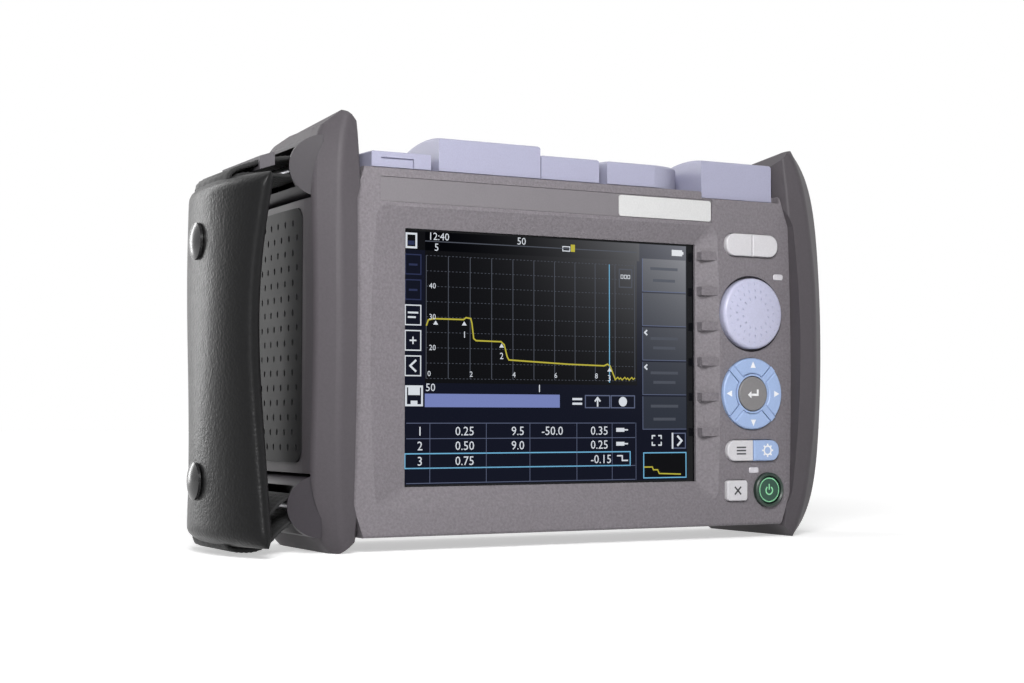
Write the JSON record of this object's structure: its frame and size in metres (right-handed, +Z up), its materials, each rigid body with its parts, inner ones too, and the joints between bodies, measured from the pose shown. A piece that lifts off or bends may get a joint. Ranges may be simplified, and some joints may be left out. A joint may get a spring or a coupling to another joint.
{
  "type": "optical time domain reflectometer",
  "caption": "Handheld optical time domain reflectometer: landscape screen, key column with rotary knob, rubber end bumpers, hinged port covers on top and a padded hand strap at the side.",
  "frame": {"origin": "middle of the bounding box in X and Y, on the table under the bumpers", "axes": "+X to the right of the screen, -Y out of the screen towards the user, +Z up"},
  "size_m": [0.2418, 0.0752, 0.1474],
  "materials": {
    "case_plastic": "fine texture",
    "cover_plastic": "satin",
    "bumper_rubber": "moulded matt",
    "grip_rubber": "dimpled",
    "black_plastic": "satin",
    "white_rubber": "smooth",
    "blue_rubber": "smooth",
    "grey_rubber": "smooth",
    "power_plastic": "tinted",
    "knob_plastic": "pearl lacquer",
    "lamp_plastic": "clear",
    "glass_panel": "smooth",
    "name_plate_film": "film",
    "label_film": "film",
    "nylon_fabric": "woven",
    "pad_fabric": "embossed vinyl over foam",
    "black_metal": "gloss",
    "steel": "plain",
    "adapter_plastic": "satin",
    "board_laminate": "lacquered",
    "module_metal": "plain",
    "battery_shell": "smooth"
  },
  "bodies": {
    "main": {"battery_pack": "battery_shell", "blank_label": "label_film", "case_screws": "steel", "cover_pin": "steel", "data_socket": "steel", "display_glass": "glass_panel", "encoder": "black_plastic", "front_case": "case_plastic", "keypad_board": "board_laminate", "keypad_mat": "grey_rubber", "lcd_module": "module_metal", "left_bumper": "bumper_rubber", "left_grip": "grip_rubber", "lower_strap_lug": "bumper_rubber", "main_board": "board_laminate", "meter_adapter": "adapter_plastic", "name_plate": "name_plate_film", "otdr_adapter_1": "adapter_plastic", "otdr_adapter_2": "adapter_plastic", "otdr_module": "module_metal", "port_panel": "black_plastic", "power_collar": "black_plastic", "power_inlet": "black_plastic", "rear_case": "case_plastic", "right_bumper": "bumper_rubber", "ring_web": "blue_rubber", "source_adapter": "adapter_plastic", "speaker": "black_plastic", "stand_pins": "steel", "status_lamps": "lamp_plastic", "strap_bars": "steel", "strap_keeper": "case_plastic", "strap_pad": "pad_fabric", "strap_rivets": "black_metal", "strap_webbing": "nylon_fabric", "upper_strap_lug": "bumper_rubber", "usb_socket": "steel"},
    "real_time_key": {"real_time_key": "white_rubber"},
    "average_key": {"average_key": "white_rubber"},
    "menu_key": {"menu_key": "white_rubber"},
    "setup_key": {"setup_key": "blue_rubber"},
    "right_key": {"right_key": "blue_rubber"},
    "up_key": {"up_key": "blue_rubber"},
    "left_key": {"left_key": "blue_rubber"},
    "down_key": {"down_key": "blue_rubber"},
    "enter_key": {"enter_key": "grey_rubber"},
    "esc_key": {"esc_key": "white_rubber"},
    "power_key": {"power_key": "power_plastic"},
    "knob_plunger": {"encoder_plunger": "black_plastic"},
    "knob": {"knob": "knob_plastic", "knob_shaft": "steel"},
    "usb_cover": {"usb_cover": "cover_plastic"},
    "otdr_cover": {"otdr_cover": "cover_plastic"},
    "source_cover": {"source_cover": "cover_plastic"},
    "meter_cover": {"meter_cover": "cover_plastic"},
    "power_cover": {"power_cover": "cover_plastic"},
    "tilt_stand": {"tilt_stand": "case_plastic"},
    "battery_door": {"battery_door": "case_plastic", "door_screw": "steel"}
  },
  "joints": [
    {"name": "real_time_key_press", "type": "slide", "parent": "main", "child": "real_time_key", "axis": [0, 1, 0], "range_m": [0, 0.0008], "stiffness_N_per_m": 1500, "springref_m": -0.0002},
    {"name": "average_key_press", "type": "slide", "parent": "main", "child": "average_key", "axis": [0, 1, 0], "range_m": [0, 0.0008], "stiffness_N_per_m": 1500, "springref_m": -0.0002},
    {"name": "menu_key_press", "type": "slide", "parent": "main", "child": "menu_key", "axis": [0, 1, 0], "range_m": [0, 0.0008], "stiffness_N_per_m": 1500, "springref_m": -0.0002},
    {"name": "setup_key_press", "type": "slide", "parent": "main", "child": "setup_key", "axis": [0, 1, 0], "range_m": [0, 0.0008], "stiffness_N_per_m": 1500, "springref_m": -0.0002},
    {"name": "right_key_press", "type": "slide", "parent": "main", "child": "right_key", "axis": [0, 1, 0], "range_m": [0, 0.0008], "stiffness_N_per_m": 1500, "springref_m": -0.0002},
    {"name": "up_key_press", "type": "slide", "parent": "main", "child": "up_key", "axis": [0, 1, 0], "range_m": [0, 0.0008], "stiffness_N_per_m": 1500, "springref_m": -0.0002},
    {"name": "left_key_press", "type": "slide", "parent": "main", "child": "left_key", "axis": [0, 1, 0], "range_m": [0, 0.0008], "stiffness_N_per_m": 1500, "springref_m": -0.0002},
    {"name": "down_key_press", "type": "slide", "parent": "main", "child": "down_key", "axis": [0, 1, 0], "range_m": [0, 0.0008], "stiffness_N_per_m": 1500, "springref_m": -0.0002},
    {"name": "enter_key_press", "type": "slide", "parent": "main", "child": "enter_key", "axis": [0, 1, 0], "range_m": [0, 0.0008], "stiffness_N_per_m": 1500, "springref_m": -0.0002},
    {"name": "esc_key_press", "type": "slide", "parent": "main", "child": "esc_key", "axis": [0, 1, 0], "range_m": [0, 0.0008], "stiffness_N_per_m": 1500, "springref_m": -0.0002},
    {"name": "power_key_press", "type": "slide", "parent": "main", "child": "power_key", "axis": [0, 1, 0], "range_m": [0, 0.0008], "stiffness_N_per_m": 1500, "springref_m": -0.0002},
    {"name": "knob_push", "type": "slide", "parent": "main", "child": "knob_plunger", "axis": [0, 1, 0], "range_m": [0, 0.0006], "stiffness_N_per_m": 2500, "springref_m": -0.0004},
    {"name": "knob_turn", "type": "hinge", "parent": "knob_plunger", "child": "knob", "pos_m": [0.08834, -0.02218, 0.084], "axis": [0, 1, 0], "continuous": true},
    {"name": "usb_cover_hinge", "type": "hinge", "parent": "main", "child": "usb_cover", "pos_m": [-0.05456, 0.01631, 0.1316], "axis": [-1, 0, 0], "range_deg": [0, 100]},
    {"name": "otdr_cover_hinge", "type": "hinge", "parent": "main", "child": "otdr_cover", "pos_m": [-0.02056, 0.01631, 0.1316], "axis": [-1, 0, 0], "range_deg": [0, 100]},
    {"name": "source_cover_hinge", "type": "hinge", "parent": "main", "child": "source_cover", "pos_m": [0.01144, 0.01631, 0.1316], "axis": [-1, 0, 0], "range_deg": [0, 100]},
    {"name": "meter_cover_hinge", "type": "hinge", "parent": "main", "child": "meter_cover", "pos_m": [0.04644, 0.01631, 0.1316], "axis": [-1, 0, 0], "range_deg": [0, 100]},
    {"name": "power_cover_hinge", "type": "hinge", "parent": "main", "child": "power_cover", "pos_m": [0.08344, 0.01631, 0.1316], "axis": [-1, 0, 0], "range_deg": [0, 100]},
    {"name": "stand_hinge", "type": "hinge", "parent": "main", "child": "tilt_stand", "pos_m": [0.01644, 0.03002, 0.0995], "axis": [1, 0, 0], "range_deg": [0, 60]},
    {"name": "door_lift_off", "type": "slide", "parent": "main", "child": "battery_door", "axis": [0, 1, 0], "range_m": [0, 0.03]}
  ]
}
